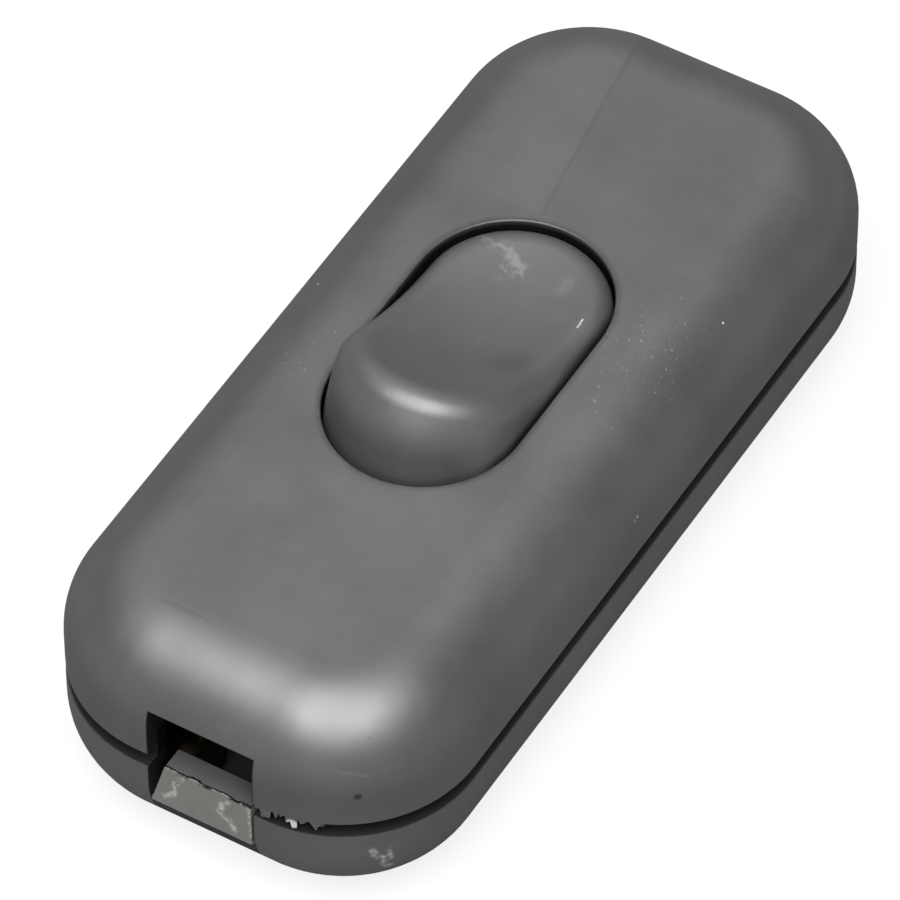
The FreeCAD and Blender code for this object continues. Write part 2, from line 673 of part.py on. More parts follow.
terminal_screws = four_of("terminal_screws", slotted_screw(
    "terminal_screw", ("terminal_position", "pole_offset"), "terminal_screw_diameter", "terminal_head_diameter",
    "(%s + terminal_head_lift)" % TERMINAL_TOP,
    "seat_height + wire_hole_height + wire_hole_diameter / 2 + 0.1", "terminal_head_height"))
clamp_screws = four_of("clamp_screws", slotted_screw(
    "clamp_screw", ("clamp_position", "clamp_spacing / 2"), "clamp_screw_diameter", "clamp_head_diameter",
    CLAMP_TOP, "wall_thickness / 2 + 0.2", "clamp_head_height"))

# Cord clamps
clamp = new_body("cord_clamp_far")
item = sketch(clamp, "XY_Plane", CLAMP_UNDERSIDE)
clamp_half = "(clamp_spacing / 2 + clamp_overhang)"
clamp_side = "(clamp_width / 2)"
outline(
    item,
    [("clamp_position - " + clamp_side, "-%s + %s" % (clamp_half, clamp_side)), ("clamp_position", "-" + clamp_half),
     ("clamp_position + " + clamp_side, "-%s + %s" % (clamp_half, clamp_side)),
     ("clamp_position + " + clamp_side, "%s - %s" % (clamp_half, clamp_side)), ("clamp_position", clamp_half),
     ("clamp_position - " + clamp_side, "%s - %s" % (clamp_half, clamp_side))],
    {side: (clamp_side, 1) for side in (0, 1, 3, 4)})
add(clamp, item, "clamp_thickness")
item = sketch(clamp, "XZ_Plane")
outline(item, [
    ("clamp_position - 0.6", CLAMP_UNDERSIDE + " + 0.2"), ("clamp_position - 0.6", CLAMP_UNDERSIDE),
    ("clamp_position", CLAMP_UNDERSIDE + " - 0.6"), ("clamp_position + 0.6", CLAMP_UNDERSIDE),
    ("clamp_position + 0.6", CLAMP_UNDERSIDE + " + 0.2")])
add(clamp, item, "clamp_spacing - clamp_screw_diameter - 0.8", both_ways=True)
item = sketch(clamp, "XY_Plane", CLAMP_UNDERSIDE)
for side in ("", "-"):
    circle(item, "clamp_position", side + "clamp_spacing / 2", "clamp_screw_diameter + 2 * running_clearance")
cut(clamp, item, "clamp_thickness", 1)
clamp_near = mirrored(clamp, "cord_clamp_near", ACROSS)

# Housing screws, driven from below at two opposite corners
screw = new_body("housing_screw")
item = sketch(screw, "XY_Plane", "housing_head_depth")
circle(item, "boss_across", "boss_aside", "housing_head_diameter")
add(screw, item, "housing_head_height")
item = sketch(screw, "XY_Plane", "housing_head_depth + housing_head_height")
circle(item, "boss_across", "boss_aside", "housing_screw_diameter")
add(screw, item, "boss_seat_height + 4.5 - housing_head_depth - housing_head_height")
item = sketch(screw, "XY_Plane", "housing_head_depth")
rectangle(item, "boss_across - housing_head_diameter", "boss_across + housing_head_diameter",
          "boss_aside - screw_slot / 2", "boss_aside + screw_slot / 2")
cut(screw, item, "housing_head_height / 2", 1)
screw_beside = mirrored(screw, "housing_screw_beside", ASIDE)
housing_screws = group("housing_screws", [screw, mirrored(screw_beside, "housing_screw_across", ACROSS)])

doc.recompute()

PIECES = [
    upper, lower, rocker, plunger, plunger_right, spring, spring_right, blade, blade_right, moving, moving_right,
    supply, supply_right, load, load_right, fixed, fixed_right, terminal_screws, clamp_screws, clamp, clamp_near,
    housing_screws,
]
for thing in doc.Objects:
    if "Invalid" in thing.State or "Error" in thing.State:
        raise RuntimeError("%s did not build: %s" % (thing.Label, thing.State))
os.makedirs("parts", exist_ok=True)
for piece in PIECES:
    if piece.Shape.isNull() or not piece.Shape.isValid():
        raise RuntimeError("%s has no valid shape" % piece.Label)
    piece.Shape.exportStep("parts/%s.step" % piece.Label)
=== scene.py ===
import random
from math import cos, radians, sin

import bpy
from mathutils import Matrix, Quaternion, Vector


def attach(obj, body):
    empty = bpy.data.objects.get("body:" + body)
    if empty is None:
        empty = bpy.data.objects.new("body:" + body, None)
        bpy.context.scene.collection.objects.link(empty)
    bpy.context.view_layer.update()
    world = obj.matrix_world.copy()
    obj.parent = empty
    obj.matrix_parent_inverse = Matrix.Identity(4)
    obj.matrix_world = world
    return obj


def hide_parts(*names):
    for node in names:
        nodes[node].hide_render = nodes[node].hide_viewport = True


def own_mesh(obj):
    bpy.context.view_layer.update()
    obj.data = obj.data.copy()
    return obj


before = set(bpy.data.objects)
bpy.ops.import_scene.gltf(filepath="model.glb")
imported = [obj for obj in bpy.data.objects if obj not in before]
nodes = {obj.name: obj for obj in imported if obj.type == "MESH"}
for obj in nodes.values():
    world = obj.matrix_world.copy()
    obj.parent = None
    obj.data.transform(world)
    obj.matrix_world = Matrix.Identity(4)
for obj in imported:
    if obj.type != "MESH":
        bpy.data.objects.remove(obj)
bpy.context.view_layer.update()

MM = 0.001

# Sizes of the solids that the looks follow, in millimetres
CORNER_CENTRE = (21.3, 4.275)
CORNER_RADIUS = 8.7
OPENING_HALF_FLAT = 4.94
OPENING_RADIUS = 6.08
UPPER_EDGE = 8.34
WEB_FACE = -30.0
PIVOT_HEIGHT = 13.1
TUBE_ASIDE = 3.2

# Rocker's tilt at rest
ROCKER_TILT = radians(15.0)
TILT_COSINE = cos(ROCKER_TILT)
TILT_SINE = sin(ROCKER_TILT)

# Values that several materials share
BUMP_DEPTH = 0.02
PLASTIC_INDEX = 1.80
HOUSING_COLOR = (0.0630, 0.0634, 0.0618)
DARK = (0.008, 0.008, 0.008)
BRIGHT = (0.85, 0.85, 0.83)


class Graph:
    """Builds a material's node tree in a few words, with places and sizes in millimetres."""

    def __init__(self, name):
        self.material = bpy.data.materials.new(name)
        self.material.use_nodes = True
        self.tree = self.material.node_tree
        self.tree.nodes.clear()
        self.shader = self.tree.nodes.new("ShaderNodeBsdfPrincipled")
        output = self.tree.nodes.new("ShaderNodeOutputMaterial")
        self.link(self.shader.outputs[0], output.inputs[0])
        place = self.tree.nodes.new("ShaderNodeTexCoord")
        scale = self.tree.nodes.new("ShaderNodeVectorMath")
        scale.operation = "SCALE"
        scale.inputs["Scale"].default_value = 1 / MM
        self.link(place.outputs["Object"], scale.inputs[0])
        self.place = scale.outputs[0]
        split = self.tree.nodes.new("ShaderNodeSeparateXYZ")
        self.link(self.place, split.inputs[0])
        self.x, self.y, self.z = split.outputs[0], split.outputs[1], split.outputs[2]

    def link(self, source, target):
        self.tree.links.new(source, target)

    def feed(self, value, socket):
        """Links a socket to a node's output, or sets it to a plain value."""
        if isinstance(value, bpy.types.NodeSocket):
            self.link(value, socket)
        else:
            socket.default_value = value

    def math(self, operation, first, second=0.0, third=0.0, clamp=False):
        node = self.tree.nodes.new("ShaderNodeMath")
        node.operation = operation
        node.use_clamp = clamp
        for value, socket in zip((first, second, third), node.inputs):
            self.feed(value, socket)
        return node.outputs[0]

    def vector(self, operation, first, second, output=0):
        node = self.tree.nodes.new("ShaderNodeVectorMath")
        node.operation = operation
        self.feed(first, node.inputs[0])
        self.feed(second, node.inputs["Scale" if operation == "SCALE" else 1])
        return node.outputs[output]

    def add(self, *values):
        total = values[0]
        for value in values[1:]:
            total = self.math("ADD", total, value)
        return total

    def times(self, *values):
        total = values[0]
        for value in values[1:]:
            total = self.math("MULTIPLY", total, value)
        return total

    def most(self, first, second):
        return self.math("MAXIMUM", first, second)

    def absolute(self, value):
        return self.math("ABSOLUTE", value)

    def past(self, value, limit):
        """Gives how far a value lies past a limit, or 0 below it."""
        return self.most(self.math("SUBTRACT", value, limit), 0.0)

    def hypot(self, first, second):
        return self.math("SQRT", self.add(self.times(first, first), self.times(second, second)))

    def less(self, mask, share):
        """Gives a factor that falls from 1 by a share of a mask."""
        return self.math("MULTIPLY_ADD", mask, -share, 1.0)

    def ramp(self, value, low, high, start=0.0):
        """Runs smoothly from start to 1 as value goes from low to high."""
        node = self.tree.nodes.new("ShaderNodeMapRange")
        node.interpolation_type = "SMOOTHSTEP"
        limits = (high, low, 1.0, start) if low > high else (low, high, start, 1.0)
        self.feed(value, node.inputs["Value"])
        for name, limit in zip(("From Min", "From Max", "To Min", "To Max"), limits):
            node.inputs[name].default_value = limit
        return node.outputs[0]

    def noise(self, size, detail=2.0, roughness=0.5, distort=0.0):
        """Gives a cloudy value from 0 to 1 with blotches of about that size."""
        node = self.tree.nodes.new("ShaderNodeTexNoise")
        node.inputs["Scale"].default_value = 1 / size
        node.inputs["Detail"].default_value = detail
        node.inputs["Roughness"].default_value = roughness
        node.inputs["Distortion"].default_value = distort
        self.link(self.place, node.inputs["Vector"])
        return node.outputs[0]

    def varied(self, low, spread, **cloud):
        """Gives a cloudy value from low to low plus spread."""
        return self.math("MULTIPLY_ADD", self.noise(**cloud), spread, low)

    def patches(self, low, high, **cloud):
        """Gives cloudy patches, from 0 where the noise is at low to 1 where it is at high."""
        return self.ramp(self.noise(**cloud), low, high)

    def specks(self, spacing, radius, share):
        """Gives 1 inside scattered round specks and 0 elsewhere."""
        node = self.tree.nodes.new("ShaderNodeTexVoronoi")
        node.inputs["Scale"].default_value = 1 / spacing
        self.link(self.place, node.inputs["Vector"])
        split = self.tree.nodes.new("ShaderNodeSeparateColor")
        self.link(node.outputs["Color"], split.inputs[0])
        picked = self.math("LESS_THAN", split.outputs[0], share)
        spread = self.math("MULTIPLY_ADD", split.outputs[1], radius / spacing, 0.3 * radius / spacing)
        inside = self.math("LESS_THAN", node.outputs["Distance"], spread)
        return self.times(picked, inside)

    def near(self, point, radius, stretch=(1.0, 1.0, 1.0)):
        """Gives 1 at a point, fading to 0 at the radius."""
        offset = self.vector("SUBTRACT", self.place, point)
        sized = self.vector("DIVIDE", offset, stretch)
        gap = self.vector("DISTANCE", sized, (0.0, 0.0, 0.0), "Value")
        return self.ramp(gap, radius, radius * 0.4)

    def streak(self, start, end, width):
        """Gives 1 on a line between two points, fading raggedly to 0 at the width."""
        along = Vector(end) - Vector(start)
        offset = self.vector("SUBTRACT", self.place, start)
        share = self.vector("DOT_PRODUCT", offset, along / along.length_squared, "Value")
        nearest = self.vector("SCALE", along, self.most(self.math("MINIMUM", share, 1.0), 0.0))
        gap = self.vector("DISTANCE", offset, nearest, "Value")
        cloud = self.noise(size=0.35, detail=3.0, roughness=0.6)
        ragged = self.math("MULTIPLY_ADD", cloud, width, gap)
        return self.ramp(ragged, width * 1.2, width * 0.6)

    def streaks(self, table):
        """Adds up the streaks of a table of starts, ends and widths."""
        return self.add(*(self.streak(*row) for row in table))

    def mix(self, factor, first, second):
        """Goes from the first color to the second by a factor."""
        node = self.tree.nodes.new("ShaderNodeMix")
        node.data_type = "RGBA"
        self.feed(factor, node.inputs["Factor"])
        sockets = [socket for socket in node.inputs if socket.type == "RGBA"]
        for value, socket in zip((first, second), sockets):
            self.feed(value if isinstance(value, bpy.types.NodeSocket) else (*value, 1.0), socket)
        return [socket for socket in node.outputs if socket.type == "RGBA"][0]

    def scaled(self, color, factor):
        """Brightens or darkens a color by a factor."""
        return self.vector("SCALE", color, factor)

    def bump(self, height, strength):
        node = self.tree.nodes.new("ShaderNodeBump")
        node.inputs["Strength"].default_value = strength
        node.inputs["Distance"].default_value = BUMP_DEPTH * MM
        self.link(height, node.inputs["Height"])
        self.link(node.outputs[0], self.shader.inputs["Normal"])

    def finish(self, color, roughness, metallic=0.0, gloss_and_shade=0.5, index=1.5):
        self.link(color, self.shader.inputs["Base Color"])
        self.feed(roughness, self.shader.inputs["Roughness"])
        self.feed(metallic, self.shader.inputs["Metallic"])
        self.feed(gloss_and_shade, self.shader.inputs["Specular IOR Level"])
        self.feed(index, self.shader.inputs["IOR"])
        return self.material


# Both shells: where each mask is 0 and where it is 1
INSIDE_REACH = (6.75, 6.6)
INSIDE_TOP = (13.75, 13.6)
INSIDE_BOTTOM = (2.05, 2.2)
ENTRY_ASIDE = (3.58, 3.52)
ENTRY_ALONG = (27.6, 27.9)
ENTRY_TOP = (11.98, 11.9)


class Shell(Graph):
    """Satin grey moulding with a fine grain, a cloudy tone and shine, and painted shade on the inside
    faces.
    """

    def __init__(self, name):
        super().__init__(name)
        self.along = self.absolute(self.x)
        self.aside = self.absolute(self.y)
        past_along = self.past(self.along, CORNER_CENTRE[0])
        past_aside = self.past(self.aside, CORNER_CENTRE[1])
        self.inset = self.hypot(past_along, past_aside)
        self.entry = self.times(
            self.ramp(self.aside, *ENTRY_ASIDE),
            self.ramp(self.along, *ENTRY_ALONG),
            self.ramp(self.z, *ENTRY_TOP))
        inside = self.times(
            self.ramp(self.inset, *INSIDE_REACH),
            self.ramp(self.z, *INSIDE_TOP),
            self.ramp(self.z, *INSIDE_BOTTOM))
        self.grain = self.noise(size=0.22, roughness=0.6)
        cloudy = self.add(
            self.varied(low=0.64, spread=0.52, size=7.0, detail=3.0),
            self.times(self.noise(size=2.5, detail=3.0, roughness=0.6), 0.14),
            self.times(self.grain, 0.06))
        # The inside faces get painted shade, darker in colour and shine
        self.gloss_and_shade = self.times(cloudy, self.less(inside, share=0.9))
        self.rough = self.varied(low=0.43, spread=0.10, size=1.6, detail=3.0)

    def finish_shell(self, color, rough, gloss_and_shade):
        self.bump(self.grain, strength=0.10)
        return self.finish(color, rough, gloss_and_shade=gloss_and_shade, index=PLASTIC_INDEX)


# Flow line's slope, and its place aside at the middle of the shell
FLOW_SLOPE = 0.143
FLOW_ASIDE = 0.2

# Upper shell: where each mask is 0 and where it is 1
FLOW_ALONG = (11.2, 11.8)
FLOW_HEIGHT = (12.0, 13.5)
FLOW_LIGHTER = (-0.1, 0.1)
FLOW_FADE = (6.0, 0.6)
FLOW_WIDTH = (0.22, 0.05)
DARKER_MARGIN = (0.5, 0.0)
WALL_MARGIN = (0.9, 0.6)
WALL_HEIGHT = (15.60, 15.25)

# Upper shell's spots, as a point, a radius and in some a stretch, and its streaks, as start, end and width
# The first two spots are painted shade, of a pit and of a slight step along the near top edge
PIT_SHADE = ((-28.26, -9.46, 10.77), 0.34)
STEP_SHADE = ((-25.0, 3.9, 15.75), 1.0, (0.25, 2.6, 1.0))
WORN_SPOT = ((-12.6, 0.0, 15.8), 3.2, (0.5, 1.0, 1.0))
DARK_SCRATCH = ((-27.0, -7.7, 14.45), (-26.5, -9.3, 14.05), 0.16)
WIDE_SCUFF = ((-28.6, -8.2, 12.6), (-27.5, -9.9, 12.1), 0.2)
NARROW_SCUFF = ((-28.2, -8.8, 12.0), (-26.8, -10.5, 12.4), 0.14)
RIGHT_DUST = ((4.5, -8.8, 15.6), 6.5, (1.25, 0.62, 1.0))
LEFT_DUST = ((-4.5, 9.2, 15.4), 5.0, (1.1, 0.6, 1.0))
RIGHT_FLECK = ((10.43, -11.06, 14.53), 0.10)
LEFT_FLECK = ((0.92, 10.81, 14.72), 0.08)
# The next spot is a painted glint on the rim of the rocker's opening
RIM_GLINT = ((-5.57, 5.88, 15.78), 0.14)
SIDE_FLECKS = ((-2.42, -12.9, 11.29), 0.9)

# Colors of the upper shell's dust, and of its flecks and painted glint
DUST_COLOR = (0.30, 0.293, 0.272)
FLECK_AND_GLINT_COLOR = (0.85, 0.85, 0.82)


def upper_gloss_and_shade(graph):
    """Gives the upper shell's shine factor, with its flow line, scuffs and a darker margin round the
    opening, and painted shade in the entries, in a pit, along a slight step and on the opening's walls.
    """
    # Painted shade inside the cord entries
    gloss_and_shade = graph.times(graph.gloss_and_shade, graph.less(graph.entry, share=0.8))

    # Flow line beyond the rocker, a little lighter on one side
    line_aside = graph.math("MULTIPLY_ADD", graph.x, FLOW_SLOPE, FLOW_ASIDE)
    flow = graph.math("SUBTRACT", graph.y, line_aside)
    far_top = graph.times(graph.ramp(graph.x, *FLOW_ALONG), graph.ramp(graph.z, *FLOW_HEIGHT))
    lighter = graph.times(graph.ramp(flow, *FLOW_LIGHTER), graph.ramp(flow, *FLOW_FADE), far_top)
    line = graph.times(graph.ramp(graph.absolute(flow), *FLOW_WIDTH), far_top)
    gloss_and_shade = graph.add(gloss_and_shade, graph.times(lighter, 0.07), graph.times(line, -0.10))

    # Darker blotchy margin around the rocker's opening, and painted shade on its walls
    reach = graph.hypot(graph.past(graph.along, OPENING_HALF_FLAT), graph.y)
    margin = graph.math("SUBTRACT", reach, OPENING_RADIUS)
    blotches = graph.ramp(graph.noise(size=0.8, detail=3.0), low=0.25, high=0.6, start=0.6)
    darker_margin = graph.times(graph.ramp(margin, *DARKER_MARGIN), blotches)
    shaded_wall = graph.times(graph.ramp(margin, *WALL_MARGIN), graph.ramp(graph.z, *WALL_HEIGHT))
    gloss_and_shade = graph.times(gloss_and_shade, graph.less(darker_margin, share=0.4), graph.less(shaded_wall, share=0.8))

    # Painted shade in a pit and along a slight step, a scratch and scuffs near the entry, and a worn spot
    # before the rocker
    gloss_and_shade = graph.times(
        gloss_and_shade,
        graph.less(graph.near(*PIT_SHADE), share=0.6),
        graph.less(graph.streak(*DARK_SCRATCH), share=0.3),
        graph.less(graph.near(*STEP_SHADE), share=0.12))
    scuff = graph.most(graph.streak(*WIDE_SCUFF), graph.streak(*NARROW_SCUFF))
    return graph.add(gloss_and_shade, graph.times(scuff, 0.25), graph.times(graph.near(*WORN_SPOT), 0.10))


def upper_material():
    """Upper shell with fine dust beside the rocker, a few brighter flecks and a painted glint on the
    opening's rim.
    """
    graph = Shell("upper_plastic")
    gloss_and_shade = upper_gloss_and_shade(graph)
    color = graph.scaled(HOUSING_COLOR, gloss_and_shade)
    zone = graph.most(graph.near(*RIGHT_DUST), graph.near(*LEFT_DUST))
    spread = graph.math("ADD", zone, 0.05, clamp=True)
    dust = graph.add(
        graph.times(graph.specks(spacing=0.34, radius=0.05, share=0.45), 0.7),
        graph.times(graph.specks(spacing=0.16, radius=0.03, share=0.5), 0.5))
    color = graph.mix(graph.math("MULTIPLY", dust, spread, clamp=True), color, DUST_COLOR)
    side_specks = graph.specks(spacing=0.4, radius=0.10, share=0.6)
    # Brighter flecks, and a painted glint on the rim of the rocker's opening
    flecks_and_glint = graph.add(
        graph.near(*RIGHT_FLECK),
        graph.near(*LEFT_FLECK),
        graph.times(graph.near(*RIM_GLINT), 0.6),
        graph.times(graph.near(*SIDE_FLECKS), side_specks, 0.5))
    color = graph.mix(graph.times(flecks_and_glint, 0.8), color, FLECK_AND_GLINT_COLOR)
    return graph.finish_shell(color, graph.rough, gloss_and_shade)


# Nearest place of the crack along the web's top, and how far it wanders from there
CRACK_START = -30.26
CRACK_WANDER = 0.7

# Lower shell: where each mask is 0 and where it is 1
WEB_ALONG = (28.2, 28.5)
WEB_HEIGHT = (4.3, 4.5)
WEB_ASIDE = (3.45, 3.4)
CRACK_WIDTH = (0.10, 0.03)
CRACK_HEIGHT = (7.6, 7.75)
FRONT_EDGE = (0.04, -0.04)
FRONT_HEIGHT = (7.76, 7.66)
LEDGE_HEIGHT = (7.07, 7.13)
LEDGE_REACH = (8.72, 8.52)

# Lower shell's rubbed streaks and the web's stress lines, as start, end and width
RUBBED_STREAKS = (
    ((-27.9, -10.0, 5.9), (-27.4, -10.4, 4.9), 0.5),
    ((-27.4, -10.4, 4.9), (-26.8, -10.5, 3.7), 0.6),
    ((-27.1, -10.7, 5.8), (-26.9, -10.7, 4.6), 0.4))
STRESS_STREAKS = (
    ((WEB_FACE, 1.2, 7.6), (WEB_FACE, 1.7, 6.7), 0.4),
    ((WEB_FACE, 1.7, 6.7), (WEB_FACE, 1.8, 5.9), 0.5),
    ((WEB_FACE, 1.8, 5.9), (WEB_FACE, 2.5, 5.2), 0.45),
    ((WEB_FACE, -1.9, 7.4), (WEB_FACE, -1.4, 6.9), 0.4),
    ((WEB_FACE, -1.4, 6.9), (WEB_FACE, -1.3, 6.1), 0.4),
    ((WEB_FACE, -1.3, 6.1), (WEB_FACE, -2.0, 5.7), 0.5),
    ((WEB_FACE, -2.0, 5.7), (WEB_FACE, -2.3, 5.0), 0.45),
    ((WEB_FACE, -3.2, 7.6), (WEB_FACE, -3.3, 5.2), 0.3))

# Colors of the lower shell's marks
RUBBED_COLOR = (0.62, 0.62, 0.605)
WEB_COLOR = (0.205, 0.198, 0.182)
STRESS_COLOR = (0.66, 0.648, 0.622)


def lower_material():
    """Lower shell with rubbed streaks, a torn web in the near entry, and painted shade on the parting
    ledge and in the cord entries.
    """
    graph = Shell("lower_plastic")
    color = graph.scaled(HOUSING_COLOR, graph.gloss_and_shade)
    rubbed = graph.times(
        graph.streaks(RUBBED_STREAKS),
        graph.patches(low=0.35, high=0.6, size=0.5, detail=3.0, roughness=0.6))
    color = graph.mix(graph.math("MULTIPLY", rubbed, 0.6, clamp=True), color, RUBBED_COLOR)

    # Pale stressed front of the near web, with a ragged crack between it and the grey top
    filled = graph.times(
        graph.ramp(graph.along, *WEB_ALONG),
        graph.ramp(graph.z, *WEB_HEIGHT),
        graph.ramp(graph.aside, *WEB_ASIDE))
    web = graph.times(filled, graph.math("LESS_THAN", graph.x, 0.0))
    crack_line = graph.varied(CRACK_START, CRACK_WANDER, size=1.5, detail=4.0, roughness=0.65)
    behind = graph.math("SUBTRACT", graph.x, crack_line)
    crack = graph.times(
        web, graph.ramp(graph.absolute(behind), *CRACK_WIDTH), graph.ramp(graph.z, *CRACK_HEIGHT))
    front = graph.times(
        web, graph.most(graph.ramp(behind, *FRONT_EDGE), graph.ramp(graph.z, *FRONT_HEIGHT)))
    mottle = graph.varied(low=0.75, spread=0.5, size=1.3, detail=3.0)
    color = graph.mix(front, color, graph.scaled(WEB_COLOR, mottle))
    stress_patches = graph.patches(
        low=0.40, high=0.62, size=0.45, detail=4.0, roughness=0.7, distort=0.8)
    stress = graph.math("MULTIPLY", graph.streaks(STRESS_STREAKS), stress_patches, clamp=True)
    color = graph.mix(graph.times(front, stress, 0.75), color, STRESS_COLOR)

    # Dark crack, and painted shade on the entry sides and the parting ledge
    beside = graph.less(filled, share=1.0)
    shaded_entry_sides = graph.times(graph.entry, beside)
    color = graph.mix(graph.most(crack, shaded_entry_sides), color, DARK)
    shaded_ledge = graph.times(graph.ramp(graph.z, *LEDGE_HEIGHT), graph.ramp(graph.inset, *LEDGE_REACH), beside)
    color = graph.mix(graph.times(shaded_ledge, 0.75), color, DARK)
    gloss_and_shade = graph.times(
        graph.gloss_and_shade,
        graph.less(crack, share=0.95),
        graph.less(shaded_entry_sides, share=0.75),
        graph.less(shaded_ledge, share=0.85))
    rough = graph.add(graph.rough, graph.times(front, 0.2))
    return graph.finish_shell(color, rough, gloss_and_shade)


# Rocker: where each mask is 0 and where it is 1
SIDES_HEIGHT = (16.3, 15.1)
SIDES_ASIDE = (5.1, 5.75)
NOSE_HEIGHT = (3.9, 1.2)
NOSE_ALONG = (7.4, 9.7)

# Rocker's spots, as a point, a radius and in one a stretch, and its streaks, as start, end and width
# The first spot is painted shade in the dish
DISH_SHADE = ((-0.9, -3.1, 15.6), 2.4, (1.2, 0.8, 1.0))
FAINT_SMEAR = ((7.4, -2.0, 15.6), 1.2)
SMEARS = (
    ((8.3, 4.2, 15.8), (7.8, 3.0, 15.7), 0.7),
    ((8.2, 2.4, 15.8), (7.3, 0.7, 15.5), 0.9),
    ((6.9, 1.7, 15.5), (6.7, 0.6, 15.5), 0.6),
    ((6.3, 2.1, 15.5), (6.1, 1.5, 15.5), 0.4))
# A painted glint on the dish's right edge
GLINT_STREAK = ((4.7, -4.55, 15.95), (5.4, -4.5, 15.95), 0.13)

# Colors of the rocker and its smears
ROCKER_COLOR = (0.0860, 0.0886, 0.0920)
SMEAR_COLOR = (0.30, 0.30, 0.305)


def rocker_material():
    """Smoother plastic with painted shade on its sides, noses and dish, rubbed smears and a painted glint.
    """
    graph = Graph("rocker_plastic")
    cloudy = graph.add(
        graph.varied(low=0.74, spread=0.24, size=5.0, detail=3.0),
        graph.times(graph.noise(size=1.4, detail=3.0), 0.10))
    aside = graph.absolute(graph.y)
    # Painted shade on the sides, down in the gap around the rocker
    shaded_sides = graph.times(graph.ramp(graph.z, *SIDES_HEIGHT), graph.ramp(aside, *SIDES_ASIDE))

    # Painted shade on both noses, placed in the tilted rocker's own directions
    rise = graph.math("SUBTRACT", graph.z, PIVOT_HEIGHT)
    lengthwise = graph.add(graph.times(graph.x, TILT_COSINE), graph.times(rise, -TILT_SINE))
    upward = graph.add(graph.times(rise, TILT_COSINE), graph.times(graph.x, TILT_SINE))
    from_middle = graph.absolute(lengthwise)
    shaded_nose = graph.times(graph.ramp(upward, *NOSE_HEIGHT), graph.ramp(from_middle, *NOSE_ALONG))
    gloss_and_shade = graph.times(
        cloudy,
        graph.less(shaded_sides, share=0.85),
        graph.less(shaded_nose, share=0.45),
        graph.less(graph.near(*DISH_SHADE), share=0.18))
    color = graph.scaled(ROCKER_COLOR, gloss_and_shade)

    smear = graph.times(
        graph.add(graph.streaks(SMEARS), graph.times(graph.near(*FAINT_SMEAR), 0.25)),
        graph.patches(low=0.40, high=0.64, size=0.9, detail=4.0, roughness=0.65, distort=0.6))
    color = graph.mix(graph.math("MULTIPLY", smear, 0.55, clamp=True), color, SMEAR_COLOR)
    # Painted glint streak on the dish edge
    color = graph.mix(graph.times(graph.streak(*GLINT_STREAK), 0.7), color, BRIGHT)
    graph.bump(graph.noise(size=0.5), strength=0.03)
    rough = graph.varied(low=0.42, spread=0.14, size=2.0, detail=3.0)
    return graph.finish(color, rough, gloss_and_shade=gloss_and_shade, index=PLASTIC_INDEX)


def metal_material(name, color, roughness):
    """Bare metal, a little uneven in tone and roughness."""
    graph = Graph(name)
    tone = graph.scaled(color, graph.varied(low=0.88, spread=0.24, size=1.2, detail=3.0))
    rough = graph.varied(low=roughness, spread=0.14, size=0.6, detail=3.0)
    graph.bump(graph.noise(size=0.25), strength=0.05)
    return graph.finish(tone, rough, metallic=1.0)


def plain_plastic(name, color, roughness):
    """Smooth moulded plastic, a little uneven in tone."""
    graph = Graph(name)
    tone = graph.scaled(color, graph.varied(low=0.94, spread=0.12, size=2.0, detail=3.0))
    rough = graph.varied(low=roughness, spread=0.1, size=1.0)
    graph.bump(graph.noise(size=0.4), strength=0.04)
    return graph.finish(tone, rough)


BRASS = metal_material("brass", (0.66, 0.46, 0.18), roughness=0.28)
BRONZE = metal_material("blade_bronze", (0.72, 0.42, 0.25), roughness=0.25)
SILVER = metal_material("silver", (0.86, 0.85, 0.82), roughness=0.22)
SPRING = metal_material("spring_steel", (0.56, 0.56, 0.57), roughness=0.25)
PLATED = metal_material("plated_steel", (0.62, 0.62, 0.62), roughness=0.28)
MATERIALS = {
    "upper_housing": upper_material(),
    "lower_housing": lower_material(),
    "rocker": rocker_material(),
    "plunger": plain_plastic("plunger_plastic", (0.62, 0.60, 0.54), roughness=0.35),
    "plunger_spring": SPRING,
    "contact_blade": BRONZE,
    "moving_contact": SILVER,
    "fixed_contact": SILVER,
    "supply_terminal": BRASS,
    "load_terminal": BRASS,
    "terminal_screws": PLATED,
    "clamp_screws": metal_material("dull_brass", (0.60, 0.49, 0.30), roughness=0.14),
    "cord_clamp": plain_plastic("clamp_plastic", (0.05, 0.05, 0.05), roughness=0.5),
    "housing_screws": PLATED,
}
SIDES = ("_left", "_right", "_near", "_far")
for name, node in nodes.items():
    kind = name
    for side in SIDES:
        kind = kind.removesuffix(side)
    node.data.materials.clear()
    node.data.materials.append(MATERIALS[kind])


# Start beside the near entry, width and drop of each flake, in millimetres
FLAKES = (
    (3.50, 0.50, 0.40), (3.90, 0.80, 0.95), (4.75, 0.40, 0.55), (5.20, 0.25, 0.30),
    (5.50, 0.35, 0.60), (5.75, 0.50, 0.95), (6.30, 0.55, 0.40), (6.90, 0.90, 0.75))
FLAKE_FACES = ((0, 1, 2, 3), (7, 6, 5, 4), (0, 4, 5, 1), (1, 5, 6, 2), (2, 6, 7, 3), (3, 7, 4, 0))
FLAKE_SEED = 11

# Depth of a flake's front behind the shell's face, and the range of its back's depth
FLAKE_FRONT = 0.07
FLAKE_BACK = (0.2, 0.4)

# Torn plastic's color, and its pale tip as a point and a radius
TORN_COLOR = (0.125, 0.125, 0.12)
PALE_TIP = ((-29.75, -5.96, 7.75), 0.5)


